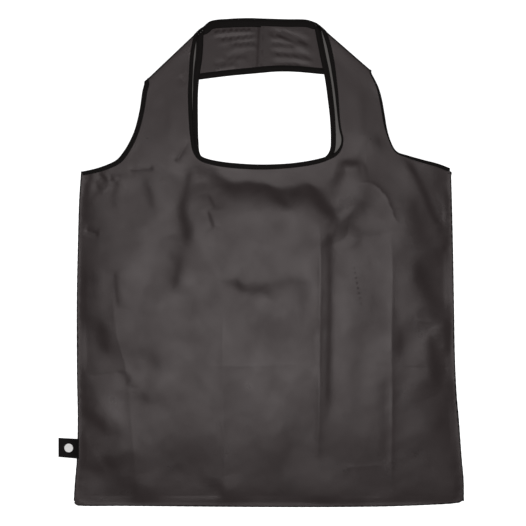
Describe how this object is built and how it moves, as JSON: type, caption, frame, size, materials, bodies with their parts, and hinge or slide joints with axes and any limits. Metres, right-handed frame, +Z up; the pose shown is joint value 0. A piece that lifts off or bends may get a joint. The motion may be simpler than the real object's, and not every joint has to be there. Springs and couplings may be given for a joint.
{
  "type": "foldable tote bag",
  "caption": "Flat thin-cloth shopping bag with bound neckline, armholes and seamed loop handles that folds up towards its front in thirds.",
  "frame": {"origin": "centre of the middle third's underside, on the surface that the flat bag lies on", "axes": "+X to the bag's right seen from the front, +Y towards the handles, +Z up out of the front face"},
  "size_m": [0.4156, 0.501, 0.0058],
  "materials": {
    "bag_cloth": "fine plain-weave polyester with a soft satin sheen",
    "binding_tape": "dull folded edge tape",
    "thread": "dense sewing thread",
    "label_tape": "tight woven satin tape",
    "label_disc": "matt plain woven disc"
  },
  "bodies": {
    "middle_third": {"back_panel_middle": "bag_cloth", "front_panel_middle": "bag_cloth", "side_seam_left_middle": "bag_cloth", "side_seam_right_middle": "bag_cloth"},
    "bottom_third": {"back_panel_bottom": "bag_cloth", "bottom_seam": "bag_cloth", "front_panel_bottom": "bag_cloth", "label_disc": "label_disc", "side_label": "label_tape", "side_seam_left_bottom": "bag_cloth", "side_seam_right_bottom": "bag_cloth"},
    "upper_third": {"back_panel_upper": "bag_cloth", "front_panel_upper": "bag_cloth", "side_seam_left_upper": "bag_cloth", "side_seam_right_upper": "bag_cloth"},
    "mouth": {"back_armhole_binding_left": "binding_tape", "back_armhole_binding_right": "binding_tape", "back_neck_binding": "binding_tape", "back_panel_mouth": "bag_cloth", "front_armhole_binding_left": "binding_tape", "front_armhole_binding_right": "binding_tape", "front_neck_binding": "binding_tape", "front_panel_mouth": "bag_cloth", "shoulder_bartack_left": "thread", "shoulder_bartack_right": "thread"},
    "handles": {"back_handle_centre_seam": "bag_cloth", "back_handle_inner_binding": "binding_tape", "back_handle_left": "bag_cloth", "back_handle_outer_binding": "binding_tape", "back_handle_right": "bag_cloth", "front_handle_centre_seam": "bag_cloth", "front_handle_inner_binding": "binding_tape", "front_handle_left": "bag_cloth", "front_handle_outer_binding": "binding_tape", "front_handle_right": "bag_cloth"}
  },
  "joints": [
    {"name": "upper_fold", "type": "hinge", "parent": "middle_third", "child": "upper_third", "pos_m": [0, 0.052, 0.0125], "axis": [1, 0, 0], "range_deg": [0, 179.5]},
    {"name": "mouth_fold", "type": "hinge", "parent": "upper_third", "child": "mouth", "pos_m": [0, 0.146, 0.0092], "axis": [1, 0, 0], "range_deg": [0, 179.5]},
    {"name": "handles_fold", "type": "hinge", "parent": "mouth", "child": "handles", "pos_m": [0, 0.231, 0.006], "axis": [1, 0, 0], "range_deg": [0, 179.5]},
    {"name": "bottom_fold", "type": "hinge", "parent": "middle_third", "child": "bottom_third", "pos_m": [0, -0.052, 0.0158], "axis": [-1, 0, 0], "range_deg": [0, 179.5]}
  ]
}
